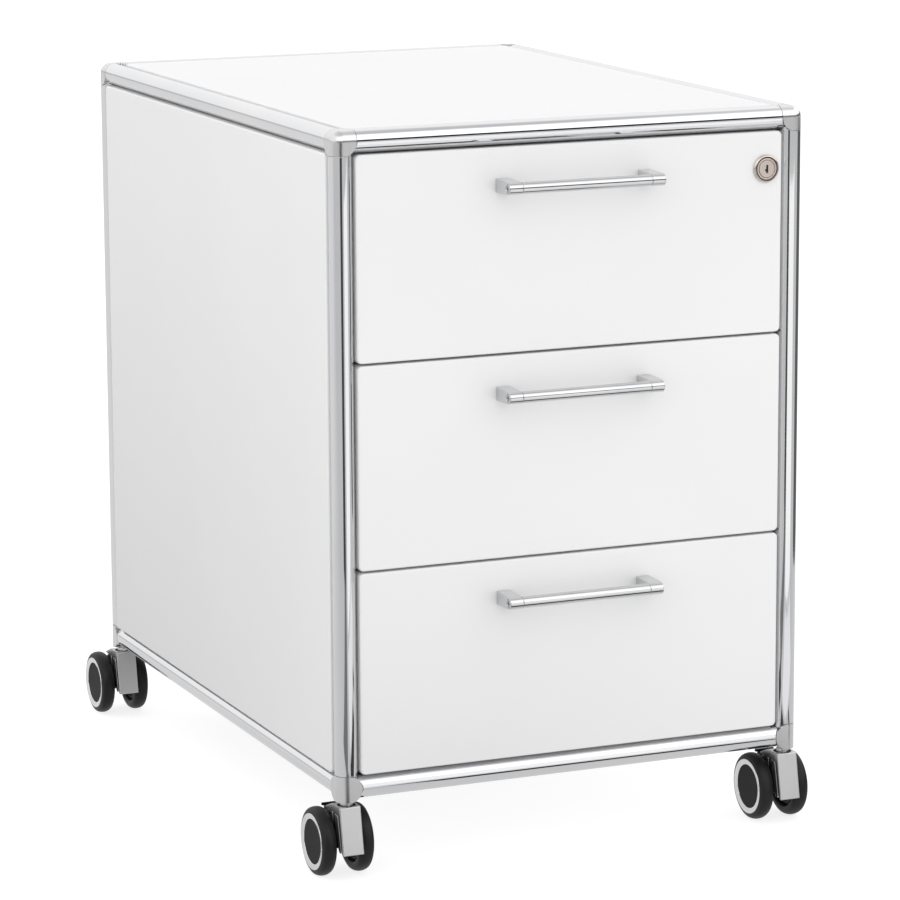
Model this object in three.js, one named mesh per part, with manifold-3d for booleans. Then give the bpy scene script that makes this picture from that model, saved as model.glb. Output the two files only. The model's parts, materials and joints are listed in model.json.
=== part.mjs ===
// Mobile filing cabinet: a chromed tube frame on four twin-wheel castors, closed by
// folded white steel panels, with three drawers on side runners and a cam lock.
// Millimetres, +Z up, the drawers face -Y, the floor is z = 0.
import * as THREE from 'three';
import { mergeVertices } from 'three/addons/utils/BufferGeometryUtils.js';
import Module from 'manifold-3d';

const wasm = await Module();
wasm.setup();

// ---------------------------------------------------------------- dimensions

// Tube frame, measured between tube axes.
const frameWidth = 405;
const frameDepth = 573;
const frameHeight = 535;
const tubeRadius = 9.5;
const tubeBore = 8;
const jointReach = 11;
const spigotRadius = 7.7;
const spigotLength = 24;
const fitGap = 0.3;

// Twin-wheel castors, measured from the swivel stem.
const wheelRadius = 29;
const wheelWidth = 14;
const wheelInset = 9.8;
const axleTrail = 21;
const axleDrop = 49.3;
const axleRadius = 3;
const axleBore = 3.3;
const pinRadius = 4.2;
const pinBore = 4.5;
const forkHalfWidth = 9.3;
const collarRadius = 5.6;
const grooveRadius = 7.8;

// Folded steel panels and drawer fronts.
const sheet = 1;
const panelFace = 9;
const panelClearance = 0.8;
const sideFold = 18.5;
const flatFold = 15;
const frontFold = 18;
const frontSetBack = 2;
const sideGap = 1.25;
const endGap = 1.3;
const drawerGap = 2;
const drawerCount = 3;
const cornerRadius = 4;
const edgeRadius = 1.5;
const lipWidth = 12;

// Drawer boxes and runners.
const boxHalfWidth = 179.5;
const boxHeight = 113;
const boxLift = 8;
const boxRear = 255;
const runnerHeight = 30;
const runnerLift = 60;
const railHeight = 24;
const railDepth = 10;
const railLength = 500;

// Bar handles and the cam lock.
const holeSpacing = 128;
const handleDrop = 31;
const handleReach = 24.5;
const barRadius = 5;
const footWidth = 12;
const footHeight = 11.6;
const studRadius = 2;
const lockX = 176.5;
const lockFlangeRadius = 11.85;
const lockBarrelRadius = 9.2;
const lockPlugRadius = 7.3;

// Derived sizes.
const halfWidth = frameWidth / 2;
const halfDepth = frameDepth / 2;
const lowRail = wheelRadius + axleDrop;
const highRail = lowRail + frameHeight;
const frontPlane = -halfDepth - tubeRadius + frontSetBack;
const frontWidth = frameWidth - 2 * tubeRadius - 2 * sideGap;
const openingHeight = frameHeight - 2 * tubeRadius;
const frontHeight = (openingHeight - 2 * endGap - (drawerCount - 1) * drawerGap) / drawerCount;
const panelEdge = tubeRadius + panelClearance;
const boxFront = frontPlane + frontFold + fitGap;
const foremost = frontPlane - handleReach - barRadius;
const rearmost = halfDepth + axleTrail + wheelRadius;
const depthCentre = (foremost + rearmost) / 2;

// ---------------------------------------------------------------- materials

const chrome = new THREE.MeshStandardMaterial({ color: 0xc9cacc, roughness: 0.12, metalness: 1 });
const whitePaint = new THREE.MeshStandardMaterial({ color: 0xeeeeee, roughness: 0.45, metalness: 0 });
const zinc = new THREE.MeshStandardMaterial({ color: 0xa9adb0, roughness: 0.4, metalness: 1 });
const steel = new THREE.MeshStandardMaterial({ color: 0x8f9294, roughness: 0.3, metalness: 1 });
const nickel = new THREE.MeshStandardMaterial({ color: 0xb9a898, roughness: 0.25, metalness: 1 });
const tyre = new THREE.MeshStandardMaterial({ color: 0x26262a, roughness: 0.6, metalness: 0 });
const blackPlastic = new THREE.MeshStandardMaterial({ color: 0x161617, roughness: 0.5, metalness: 0 });

// ---------------------------------------------------------------- solid helpers

// Turns a three.js geometry into a closed solid with its faces outwards.
function solid(geometry) {
  geometry.deleteAttribute('normal');
  geometry.deleteAttribute('uv');
  const welded = mergeVertices(geometry, 1e-4);
  const corners = Array.from(welded.index.array);
  const faces = [];
  for (let i = 0; i < corners.length; i += 3) {
    const [a, b, c] = corners.slice(i, i + 3);
    if (a !== b && b !== c && c !== a) {
      faces.push([a, b, c]);
    }
  }
  const body = fromFaces(welded, faces);
  return body.volume() > 0 ? body : fromFaces(welded, faces.map((face) => face.reverse()));
}

function fromFaces(geometry, faces) {
  const mesh = new wasm.Mesh({
    numProp: 3,
    vertProperties: new Float32Array(geometry.attributes.position.array),
    triVerts: new Uint32Array(faces.flat()),
  });
  return new wasm.Manifold(mesh);
}

function box(x0, x1, y0, y1, z0, z1) {
  const block = new THREE.BoxGeometry(x1 - x0, y1 - y0, z1 - z0);
  block.translate((x0 + x1) / 2, (y0 + y1) / 2, (z0 + z1) / 2);
  return solid(block);
}

// A round bar along X, Y or Z between two positions on that axis.
function rod(axis, radius, from, to, segments) {
  const bar = new THREE.CylinderGeometry(radius, radius, to - from, segments);
  bar.translate(0, (from + to) / 2, 0);
  if (axis === 'x') {
    bar.rotateZ(-Math.PI / 2);
  }
  if (axis === 'z') {
    bar.rotateX(Math.PI / 2);
  }
  return solid(bar);
}

// A flat outline raised along Z, centred on z = 0.
function plate(points, thickness) {
  const outline = new THREE.Shape(points.map(([x, y]) => new THREE.Vector2(x, y)));
  const raised = new THREE.ExtrudeGeometry(outline, { depth: thickness, bevelEnabled: false });
  raised.translate(0, 0, -thickness / 2);
  return solid(raised);
}

// A side outline given as [y, z], spread across X and centred on x = 0.
function profileAcross(points, width) {
  return plate(points, width).rotate([90, 0, 0]).rotate([0, 0, 90]);
}

function unite(...bodies) {
  return bodies.reduce((sum, body) => sum.add(body));
}

function revolve(points, segments) {
  const profile = points.map(([radius, height]) => new THREE.Vector2(radius, height));
  return solid(new THREE.LatheGeometry(profile, segments));
}

const cabinet = new THREE.Group();
cabinet.name = 'filing_cabinet';

// Adds a finished solid as a named piece, moved so the whole cabinet is centred on Y.
function place(name, body, material) {
  const data = body.getMesh();
  const shape = new THREE.BufferGeometry();
  shape.setAttribute('position', new THREE.BufferAttribute(new Float32Array(data.vertProperties), 3));
  shape.setIndex(new THREE.BufferAttribute(new Uint32Array(data.triVerts), 1));
  shape.translate(0, -depthCentre, 0);
  shape.computeVertexNormals();
  const piece = new THREE.Mesh(shape, material);
  piece.name = name;
  cabinet.add(piece);
}

// ---------------------------------------------------------------- tube frame

function arc(radius, fromDegrees, toDegrees) {
  const steps = Math.round(Math.abs(toDegrees - fromDegrees) / 15);
  const points = [];
  for (let i = 0; i <= steps; i += 1) {
    const angle = ((fromDegrees + (i / steps) * (toDegrees - fromDegrees)) * Math.PI) / 180;
    points.push([radius * Math.cos(angle), radius * Math.sin(angle)]);
  }
  return points;
}

// A joint seen along one axis, with arms towards +u and +v: as round as the tubes at the
// outer corner and a disc at the inner one. A through joint also has an arm towards -v.
function jointOutline(through) {
  const outer = through ? [[-tubeRadius, -jointReach]] : arc(tubeRadius, 180, 270);
  const inner = through ? arc(jointReach, -90, 90) : [[jointReach, -tubeRadius], ...arc(jointReach, 0, 90)];
  return [...outer, ...inner, [-tubeRadius, jointReach]];
}

// What a joint takes off the end of a tube, seen along one axis.
function jointCut(through) {
  const reach = jointReach + fitGap;
  const far = -tubeRadius - 3;
  const lower = through ? [[far, -reach], ...arc(reach, -90, 0)] : [[far, far], [reach, far]];
  return [...lower, ...arc(reach, 0, 90).slice(through ? 1 : 0), [far, reach]];
}

// Turns an outline raised along Z so that its u and v run along x and z, or along y and z.
const seenAlongY = (raised) => raised.rotate([90, 0, 0]);
const seenAlongX = (raised) => seenAlongY(raised).rotate([0, 0, 90]);

// A corner connector whose tubes run along +X, +Y and +Z, with a plug for each of them.
function connector(through) {
  const side = plate(jointOutline(through), 40);
  const core = plate(jointOutline(false), 40).intersect(seenAlongY(side)).intersect(seenAlongX(side));
  const plugs = ['x', 'y', 'z'].map((axis) => rod(axis, spigotRadius, 0, spigotLength, 12));
  return unite(core, ...plugs);
}

// A lower connector, which reaches down to the castor and is bored for its stem.
function footedConnector() {
  return connector(true).subtract(rod('z', pinBore, -jointReach - 1, 6, 10));
}

// A tube along X between two nodes, its ends shaped to the connectors and mitred where
// they meet the tubes along +Y and +Z.
function tube(length, through) {
  const half = length / 2;
  const outer = rod('x', tubeRadius, -half + 4, half - 4, 24);
  const inner = rod('x', tubeBore, -half, half, 16);
  const edge = tubeRadius + 3;
  const gap = fitGap / 2;
  const mitre = plate([[-edge, -edge - gap], [edge + gap, edge], [-edge, edge]], 40);
  const joint = plate(jointCut(false), 40).intersect(seenAlongY(plate(jointCut(through), 40)));
  const end = unite(joint, mitre, seenAlongY(mitre));
  const startCut = end.translate([-half, 0, 0]);
  return outer.subtract(inner).subtract(startCut).subtract(startCut.scale([-1, 1, 1]));
}

const sides = { left: -1, right: 1 };
const ends = { front: -1, rear: 1 };
const levels = { bottom: lowRail, top: highRail };
const postTube = tube(frameHeight, false).rotate([0, -90, 0]);

for (const [levelName, level] of Object.entries(levels)) {
  const inwards = levelName === 'top' ? -1 : 1;
  const widthTube = tube(frameWidth, levelName === 'bottom');
  const depthTube = tube(frameDepth, levelName === 'bottom').rotate([0, 0, 90]);
  for (const [endName, end] of Object.entries(ends)) {
    const rail = widthTube.scale([1, -end, inwards]).translate([0, end * halfDepth, level]);
    place(`rail_${levelName}_${endName}`, rail, chrome);
  }
  for (const [sideName, side] of Object.entries(sides)) {
    const rail = depthTube.scale([side, 1, inwards]).translate([side * halfWidth, 0, level]);
    place(`rail_${levelName}_${sideName}`, rail, chrome);
  }
}

for (const [endName, end] of Object.entries(ends)) {
  for (const [sideName, side] of Object.entries(sides)) {
    const corner = [side * halfWidth, end * halfDepth];
    const post = postTube.scale([side, -end, 1]).translate([...corner, (lowRail + highRail) / 2]);
    place(`post_${endName}_${sideName}`, post, chrome);
    const upper = connector(false).scale([-side, -end, -1]).translate([...corner, highRail]);
    place(`connector_top_${endName}_${sideName}`, upper, chrome);
    const lower = footedConnector().scale([-side, -end, 1]).translate([...corner, lowRail]);
    place(`connector_bottom_${endName}_${sideName}`, lower, chrome);
  }
}

// ---------------------------------------------------------------- folded trays

function roundedOutline(width, height, radius) {
  const outline = new THREE.Shape();
  const right = width / 2;
  const top = height / 2;
  outline.moveTo(-right + radius, -top);
  outline.lineTo(right - radius, -top);
  outline.quadraticCurveTo(right, -top, right, -top + radius);
  outline.lineTo(right, top - radius);
  outline.quadraticCurveTo(right, top, right - radius, top);
  outline.lineTo(-right + radius, top);
  outline.quadraticCurveTo(-right, top, -right, top - radius);
  outline.lineTo(-right, -top + radius);
  outline.quadraticCurveTo(-right, -top, -right + radius, -top);
  return outline;
}

// A sheet folded back on all four edges: the face is z = 0 and looks along +Z. Its
// return lips are lipWidth wide at top and bottom and sideLip wide at left and right.
function tray(width, height, depth, sideLip) {
  const outline = roundedOutline(width, height, cornerRadius);
  const shell = new THREE.ExtrudeGeometry(outline, {
    depth,
    bevelThickness: edgeRadius,
    bevelSize: edgeRadius,
    bevelOffset: -edgeRadius,
    bevelSegments: 1,
    curveSegments: 2,
  });
  shell.translate(0, 0, -depth - edgeRadius);
  const outer = solid(shell).intersect(box(-width, width, -height, height, -depth, 1));
  const room = roundedOutline(width - 2 * sheet, height - 2 * sheet, cornerRadius - sheet);
  const hollow = new THREE.ExtrudeGeometry(room, {
    depth: depth - 2 * sheet,
    bevelEnabled: false,
    curveSegments: 2,
  });
  hollow.translate(0, 0, -depth + sheet);
  const halfOpenX = width / 2 - sheet - sideLip;
  const halfOpenY = height / 2 - sheet - lipWidth;
  const mouth = box(-halfOpenX, halfOpenX, -halfOpenY, halfOpenY, -depth - 1, -depth / 2);
  return outer.subtract(solid(hollow)).subtract(mouth);
}

const innerWidth = frameWidth - 2 * panelEdge;
const innerDepth = frameDepth - 2 * panelEdge;
const innerHeight = frameHeight - 2 * panelEdge;
const midHeight = (lowRail + highRail) / 2;

const sidePanel = tray(innerDepth, innerHeight, sideFold, lipWidth).rotate([90, 0, 0]);
const rearPanel = tray(innerWidth, innerHeight, sideFold, lipWidth).rotate([90, 0, 180]);
const flatPanel = tray(innerWidth, innerDepth, flatFold, lipWidth);
const panelX = halfWidth + panelFace;

place('panel_left', sidePanel.rotate([0, 0, -90]).translate([-panelX, 0, midHeight]), whitePaint);
place('panel_right', sidePanel.rotate([0, 0, 90]).translate([panelX, 0, midHeight]), whitePaint);
place('panel_rear', rearPanel.translate([0, halfDepth + panelFace, midHeight]), whitePaint);
place('panel_top', flatPanel.translate([0, 0, highRail + panelFace]), whitePaint);
place('panel_base', flatPanel.rotate([180, 0, 0]).translate([0, 0, lowRail - panelFace]), whitePaint);

// ---------------------------------------------------------------- handles and lock

const studReach = 8;
const footCentre = holeSpacing / 2;

// A bar handle on two feet, standing on y = 0 and reaching towards -Y.
function handle() {
  const lean = 5;
  const nose = [];
  for (let i = 0; i <= 6; i += 1) {
    const angle = (i / 6) * Math.PI;
    nose.push([-handleReach - barRadius * Math.sin(angle), barRadius * Math.cos(angle)]);
  }
  const footSide = [
    [-fitGap, footHeight / 2],
    [-handleReach + lean, footHeight / 2 - 0.4],
    ...nose,
    [-handleReach + lean, -footHeight / 2 + 0.4],
    [-fitGap, -footHeight / 2],
  ];
  const foot = profileAcross(footSide, footWidth);
  const screwSeat = rod('x', 3.85, -footCentre - footWidth / 2 - 1, -footCentre - footWidth / 2 + 1, 8);
  const stud = rod('y', studRadius, -1, studReach, 6);
  const bar = rod('x', barRadius - 0.15, -footCentre, footCentre, 14).translate([0, -handleReach, 0]);
  const seat = screwSeat.translate([0, -handleReach, 0]);
  const parts = [bar];
  for (const side of [-footCentre, footCentre]) {
    parts.push(foot.translate([side, 0, 0]), stud.translate([side, 0, 0]));
  }
  return unite(...parts).subtract(seat).subtract(seat.scale([-1, 1, 1]));
}

// The fixed lock housing: a flange on the drawer front and a barrel behind it.
function lockHousing() {
  const flange = rod('y', lockFlangeRadius, -3, -fitGap, 24);
  const barrel = rod('y', lockBarrelRadius, -1, frontFold - 2, 20);
  const bore = rod('y', lockPlugRadius + fitGap, -4, frontFold, 16);
  return flange.add(barrel).subtract(bore);
}

// The turning plug with its key slot, and the cam on its inner end.
function lockPlug() {
  const plug = rod('y', lockPlugRadius, -3.4, frontFold + 1, 16);
  const keySlot = box(-0.9, 0.9, -4, 0, -4, 4);
  const cam = box(-4.5, 4.5, frontFold + 1, frontFold + 3, -13, 5);
  return plug.add(cam).subtract(keySlot);
}

// ---------------------------------------------------------------- drawers

const drawerNames = ['bottom', 'middle', 'top'];
const screwHole = rod('y', studRadius + fitGap, -1, 3, 8).translate([footCentre, frontPlane, 0]);
const screwHoles = screwHole.add(screwHole.scale([-1, 1, 1]));

// An open-topped drawer box with a rail along each side, its underside at z = 0.
function drawerBox() {
  const outer = box(-boxHalfWidth, boxHalfWidth, boxFront, boxRear, 0, boxHeight);
  const roomX = boxHalfWidth - sheet;
  const room = box(-roomX, roomX, boxFront + sheet, boxRear - sheet, sheet, boxHeight + 1);
  const railTop = runnerLift - boxLift + railHeight / 2;
  const railStart = boxFront + 4;
  const rail = box(
    boxHalfWidth - sheet / 2,
    boxHalfWidth + railDepth,
    railStart,
    railStart + railLength,
    railTop - railHeight,
    railTop,
  );
  return outer.subtract(room).add(rail).add(rail.scale([-1, 1, 1]));
}

// A C-shaped runner on the right-hand side of the cabinet, open towards the drawer.
function runner() {
  const back = halfWidth - tubeRadius - fitGap;
  const lip = boxHalfWidth + 1;
  const start = boxFront + 2;
  const stop = halfDepth - panelEdge;
  const half = runnerHeight / 2;
  const channel = box(lip, back, start, stop, -half, half);
  return channel.subtract(box(lip - 1, back - 1.2, start - 1, stop + 1, -half + 1.2, half - 1.2));
}

drawerNames.forEach((name, index) => {
  const foot = lowRail + tubeRadius + endGap + index * (frontHeight + drawerGap);
  const handleHeight = foot + frontHeight - handleDrop;
  const face = tray(frontWidth, frontHeight, frontFold, 0).rotate([90, 0, 0]);
  let front = face.translate([0, frontPlane, foot + frontHeight / 2])
    .subtract(screwHoles.translate([0, 0, handleHeight]));
  if (name === 'top') {
    const lockHole = rod('y', lockBarrelRadius + fitGap, -2, 4, 20);
    front = front.subtract(lockHole.translate([lockX, frontPlane, handleHeight]));
    const lockSeat = [lockX, frontPlane, handleHeight];
    place('lock_housing', lockHousing().translate(lockSeat), nickel);
    place('lock_plug', lockPlug().translate(lockSeat), nickel);
  }
  place(`drawer_${name}_front`, front, whitePaint);
  place(`drawer_${name}_box`, drawerBox().translate([0, 0, foot + boxLift]), whitePaint);
  place(`drawer_${name}_handle`, handle().translate([0, frontPlane, handleHeight]), chrome);
  const track = runner().translate([0, 0, foot + runnerLift]);
  place(`runner_${name}_right`, track, zinc);
  place(`runner_${name}_left`, track.scale([-1, 1, 1]), zinc);
});

// ---------------------------------------------------------------- castors

const brakePivot = [29, -30];

// The chromed body of a castor: stem, head, front shield and fork, from the lower tube axis.
function castorHousing() {
  const pin = rod('z', pinRadius, -13, 4, 10);
  const collar = rod('z', collarRadius, -18, -jointReach - fitGap, 14);
  const shield = profileAcross([[-8.5, -14.5], [-5, -20], [-13.2, -54], [-16, -54]], 2 * forkHalfWidth);
  const head = profileAcross(
    [[-8.5, -14.5], [9, -14.5], [23.5, -20.3], [23.5, -21.5], [-7.6, -21.5]],
    2 * forkHalfWidth,
  );
  const groove = rod('z', grooveRadius, -16.2, -14, 16).subtract(rod('z', collarRadius, -17, -13, 14));
  const web = profileAcross(
    [[-8, -20], [8, -20], [19, -42], [19, -54], [-12.5, -50]],
    2 * forkHalfWidth - 4,
  );
  const cheekSide = [[8, -20.5], [16, -20.5], [25, -26], [33, -28], [33, -34], [24, -46], [10, -46]];
  const cheek = profileAcross(cheekSide, 1.8);
  const cheekShift = forkHalfWidth - 1.0;
  const boss = rod('x', 8, -forkHalfWidth + 0.2, forkHalfWidth - 0.2, 14)
    .translate([0, axleTrail, -axleDrop]);
  const brakePin = rod('x', 1.6, -cheekShift, cheekShift, 8).translate([0, ...brakePivot]);
  const bore = rod('x', axleBore, -20, 20, 12).translate([0, axleTrail, -axleDrop]);
  const body = unite(
    head.subtract(groove),
    collar,
    pin,
    shield,
    web,
    boss,
    brakePin,
    cheek.translate([cheekShift, 0, 0]),
    cheek.translate([-cheekShift, 0, 0]),
  );
  return body.subtract(bore);
}

// A black foot lever hung on the brake pin between the cheeks.
function brakeLever() {
  const armSide = [[26, -25.5], [33, -22.5], [34, -22.5], [34, -26], [32, -33.5], [25.8, -33.5]];
  const arm = profileAcross(armSide, 13.6);
  const pad = profileAcross([[32.4, -20.8], [34.6, -20.8], [34.6, -23], [32.4, -23]], 18);
  const bore = rod('x', 2, -10, 10, 12).translate([0, ...brakePivot]);
  return arm.add(pad).subtract(bore);
}

// One wheel turning on X: tyre, dished ring and flat hub disc, hollow on its inner side.
function castorWheel() {
  const section = [
    [0, 12.4],
    [18.9, 12.4],
    [23.6, wheelWidth],
    [27.6, 12.4],
    [wheelRadius, 8.6],
    [wheelRadius, 4.2],
    [27.2, 0.8],
    [22, 0.3],
    [21, 4.5],
    [9, 4.5],
    [9, 0.3],
    [axleBore, 0.3],
    [axleBore, 10],
    [0, 10],
  ];
  return revolve(section, 20).rotate([0, 0, -90]);
}

const wheel = castorWheel().translate([wheelInset, 0, 0]);
const axle = rod('x', axleRadius, -wheelInset - 9.6, wheelInset + 9.6, 12);

for (const [endName, end] of Object.entries(ends)) {
  for (const [sideName, side] of Object.entries(sides)) {
    const stem = [side * halfWidth, end * halfDepth, lowRail];
    const hub = [stem[0], stem[1] + axleTrail, wheelRadius];
    const name = `castor_${endName}_${sideName}`;
    place(`${name}_housing`, castorHousing().translate(stem), chrome);
    place(`${name}_axle`, axle.translate(hub), steel);
    place(`${name}_wheel_right`, wheel.translate(hub), tyre);
    place(`${name}_wheel_left`, wheel.scale([-1, 1, 1]).translate(hub), tyre);
    if (endName === 'front') {
      place(`${name}_brake_lever`, brakeLever().translate(stem), blackPlastic);
    }
  }
}

export default cabinet;
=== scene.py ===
"""A white three-drawer filing cabinet in a chromed tube frame, on four twin-wheel castors.

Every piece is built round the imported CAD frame. Lengths in the shape functions are
millimetres, turned into metres when a piece is made.
"""
import json
import math

import bmesh
import bpy
from mathutils import Matrix, Vector


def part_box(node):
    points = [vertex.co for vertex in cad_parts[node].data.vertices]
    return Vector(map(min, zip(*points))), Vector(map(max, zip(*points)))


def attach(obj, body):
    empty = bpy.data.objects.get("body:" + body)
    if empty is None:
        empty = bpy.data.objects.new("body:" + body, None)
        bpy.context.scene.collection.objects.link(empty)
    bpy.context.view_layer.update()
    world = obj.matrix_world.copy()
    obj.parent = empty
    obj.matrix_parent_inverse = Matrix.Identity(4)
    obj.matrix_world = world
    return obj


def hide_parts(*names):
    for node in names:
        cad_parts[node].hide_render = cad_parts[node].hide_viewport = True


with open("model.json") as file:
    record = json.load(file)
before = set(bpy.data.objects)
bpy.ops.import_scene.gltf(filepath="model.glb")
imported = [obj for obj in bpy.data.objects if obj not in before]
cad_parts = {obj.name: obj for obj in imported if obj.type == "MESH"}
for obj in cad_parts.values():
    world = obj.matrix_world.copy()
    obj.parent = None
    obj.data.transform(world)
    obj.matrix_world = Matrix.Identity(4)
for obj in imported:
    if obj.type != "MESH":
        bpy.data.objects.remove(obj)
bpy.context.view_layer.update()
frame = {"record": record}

MM = 0.001
node_body = {
    node: body
    for body, nodes in frame["record"]["behaviour"]["bodies"].items()
    for node in nodes
}

# ---------------------------------------------------------------- driving sizes


def corners(node):
    """Lowest and highest corner of a CAD node, in millimetres."""
    low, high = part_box(node)
    return low / MM, high / MM


def middle(node):
    low, high = corners(node)
    return (low + high) / 2


rail_low, rail_high = corners("rail_top_front")
TUBE = (rail_high.z - rail_low.z) / 2
LEVELS = {"bottom": middle("rail_bottom_front").z, "top": middle("rail_top_front").z}
ENDS = {"front": middle("post_front_left").y, "rear": middle("post_rear_left").y}
SIDES = {"left": middle("post_front_left").x, "right": middle("post_front_right").x}
# A connector reaches this far from the tubes' axes, and its plugs fit the tubes' bores.
REACH = 11.0
GAP = 0.3
BORE = 8.0
PLUG = 7.7
PLUG_LENGTH = 24.0
STEM_BORE = 4.5
SHEET = 1.0
WHEEL = middle("castor_front_left_axle").z
TRAIL = middle("castor_front_left_axle").y - ENDS["front"]

# ---------------------------------------------------------------- materials


class Nodes:
    """A short way to write a node tree."""

    def __init__(self, tree):
        self.tree = tree
        tree.nodes.clear()

    def feed(self, socket, value):
        """Links an output to an input, or sets the input to a constant."""
        if isinstance(value, bpy.types.NodeSocket):
            self.tree.links.new(value, socket)
        else:
            socket.default_value = value

    def add(self, kind, settings=None, **inputs):
        node = self.tree.nodes.new(kind)
        for key, value in (settings or {}).items():
            setattr(node, key, value)
        for key, value in inputs.items():
            self.feed(node.inputs[key.replace("_", " ")], value)
        return node

    def math(self, operation, *values):
        node = self.add("ShaderNodeMath", {"operation": operation})
        for socket, value in zip(node.inputs, values):
            self.feed(socket, value)
        return node.outputs[0]

    def spread(self, value, low, high, out_low, out_high):
        """Turns one range of values into another, and holds it at the ends."""
        made = self.add(
            "ShaderNodeMapRange", Value=value, From_Min=low, From_Max=high, To_Min=out_low, To_Max=out_high
        )
        return made.outputs["Result"]

    def noise(self, where, scale, detail=3.0):
        return self.add("ShaderNodeTexNoise", Vector=where, Scale=scale, Detail=detail).outputs["Fac"]

    def tint(self, factor, dark, light):
        """A colour between two, by a factor from 0 to 1."""
        mix = self.add("ShaderNodeMix", {"data_type": "RGBA"})
        colour_sockets = (mix.inputs[6], mix.inputs[7])
        self.feed(mix.inputs[0], factor)
        for socket, colour in zip(colour_sockets, (dark, light)):
            self.feed(socket, colour)
        return mix.outputs[2]

    def glow(self, strength):
        return self.add("ShaderNodeEmission", Color=(1, 1, 1, 1), Strength=strength)

    def either(self, factor, first, second):
        """One shader where the factor is 0 and another where it is 1."""
        mix = self.add("ShaderNodeMixShader", Fac=factor)
        self.feed(mix.inputs[1], first.outputs[0])
        self.feed(mix.inputs[2], second.outputs[0])
        return mix


def finish(
    name, slot, dark, light, rough, bump, metallic, patch, grain, stretch=(1, 1, 1), specular=0.5
):
    """A surface whose colour, roughness and relief vary a little, at two scales.

    rough is its lowest and highest roughness, and bump the relief's height in metres. patch is
    how many cloudy patches there are to the metre, and grain how many grains.
    """
    material = bpy.data.materials.new(name)
    material.use_nodes = True
    material["slot"] = slot
    nodes = Nodes(material.node_tree)
    where = nodes.add("ShaderNodeTexCoord").outputs["Object"]
    where_fine = nodes.add("ShaderNodeMapping", Vector=where, Scale=stretch).outputs[0]
    clouds = nodes.noise(where, patch)
    fine = nodes.noise(where_fine, grain, 2.0)
    mottle = nodes.spread(clouds, 0.3, 0.7, 0.0, 1.0)
    blend = nodes.math("MULTIPLY_ADD", clouds, 0.6, nodes.math("MULTIPLY", fine, 0.4))
    roughness = nodes.spread(blend, 0.3, 0.7, *rough)
    relief = nodes.add("ShaderNodeBump", Strength=1.0, Distance=bump, Height=fine).outputs[0]
    shader = nodes.add(
        "ShaderNodeBsdfPrincipled",
        Base_Color=nodes.tint(mottle, (*dark, 1), (*light, 1)),
        Metallic=metallic,
        Roughness=roughness,
        Specular_IOR_Level=specular,
        Normal=relief,
    )
    nodes.add("ShaderNodeOutputMaterial", Surface=shader.outputs[0])
    return material


CHROME = finish(
    "chrome_plating", "chrome", (0.76, 0.765, 0.78), (0.80, 0.80, 0.81), (0.035, 0.1), 2e-6, 1.0, 9.0, 260.0
)
HANDLE_CHROME = finish(
    "handle_chrome", "chrome", (0.62, 0.625, 0.635), (0.67, 0.67, 0.675), (0.06, 0.13), 2e-6, 1.0, 20.0, 260.0
)
SATIN = finish(
    "satin_chrome", "chrome", (0.58, 0.58, 0.585), (0.64, 0.64, 0.64), (0.27, 0.36), 4e-6, 1.0, 30.0, 900.0
)
CAST_CHROME = finish(
    "cast_chrome", "chrome", (0.70, 0.70, 0.71), (0.76, 0.76, 0.765), (0.2, 0.27), 2e-6, 1.0, 24.0, 500.0
)
PAINT = finish(
    "white_powder_coat", "white_paint", (0.845, 0.845, 0.85), (0.865, 0.865, 0.865), (0.36, 0.46), 6e-6, 0.0,
    6.0, 1100.0,
)
ZINC = finish(
    "bright_zinc", "zinc", (0.50, 0.52, 0.55), (0.64, 0.66, 0.67), (0.28, 0.48), 8e-6, 1.0, 60.0, 700.0
)
STEEL = finish(
    "turned_steel", "steel", (0.46, 0.47, 0.48), (0.56, 0.57, 0.58), (0.2, 0.36), 8e-6, 1.0, 40.0, 800.0,
    stretch=(6.0, 0.5, 0.5),
)
NICKEL = finish(
    "warm_nickel", "nickel", (0.72, 0.62, 0.56), (0.82, 0.73, 0.67), (0.28, 0.4), 5e-6, 1.0, 120.0, 1500.0
)
BRIGHT_NICKEL = finish(
    "bright_nickel", "nickel", (0.68, 0.62, 0.58), (0.76, 0.70, 0.66), (0.16, 0.24), 4e-6, 1.0, 120.0, 1500.0
)
# Painted shade: a dark warm-brown finish for the ring set in the lock's groove, standing for the shade there.
GROOVE_SHADE = finish(
    "painted_groove_shade", "nickel", (0.13, 0.085, 0.06), (0.19, 0.13, 0.10), (0.35, 0.5), 5e-6, 1.0, 120.0, 1500.0
)
RUBBER = finish(
    "black_tread", "tyre", (0.009, 0.009, 0.01), (0.014, 0.014, 0.015), (0.36, 0.5), 1.2e-5, 0.0,
    50.0, 2200.0, specular=0.26,
)
HUB = finish(
    "dark_hub_plastic", "tyre", (0.014, 0.014, 0.015), (0.019, 0.019, 0.02), (0.48, 0.62), 1.5e-5, 0.0,
    60.0, 3000.0, specular=0.14,
)
RING = finish(
    "bright_trim_ring", "chrome", (0.80, 0.80, 0.80), (0.86, 0.86, 0.86), (0.12, 0.22), 2e-6, 1.0, 80.0, 400.0
)
PLASTIC = finish(
    "black_plastic", "black_plastic", (0.008, 0.008, 0.009), (0.014, 0.014, 0.015), (0.38, 0.55), 1.5e-5,
    0.0, 70.0, 2600.0, specular=0.2,
)
# Painted shade: a near-black finish for pieces set in slots and grooves, standing for the shade inside them.
SHADOW = finish(
    "painted_recess_shade", "black_plastic", (0.006, 0.006, 0.006), (0.01, 0.01, 0.01), (0.6, 0.8), 1e-5, 0.0,
    70.0, 2600.0,
)

# ---------------------------------------------------------------- shapes


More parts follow.
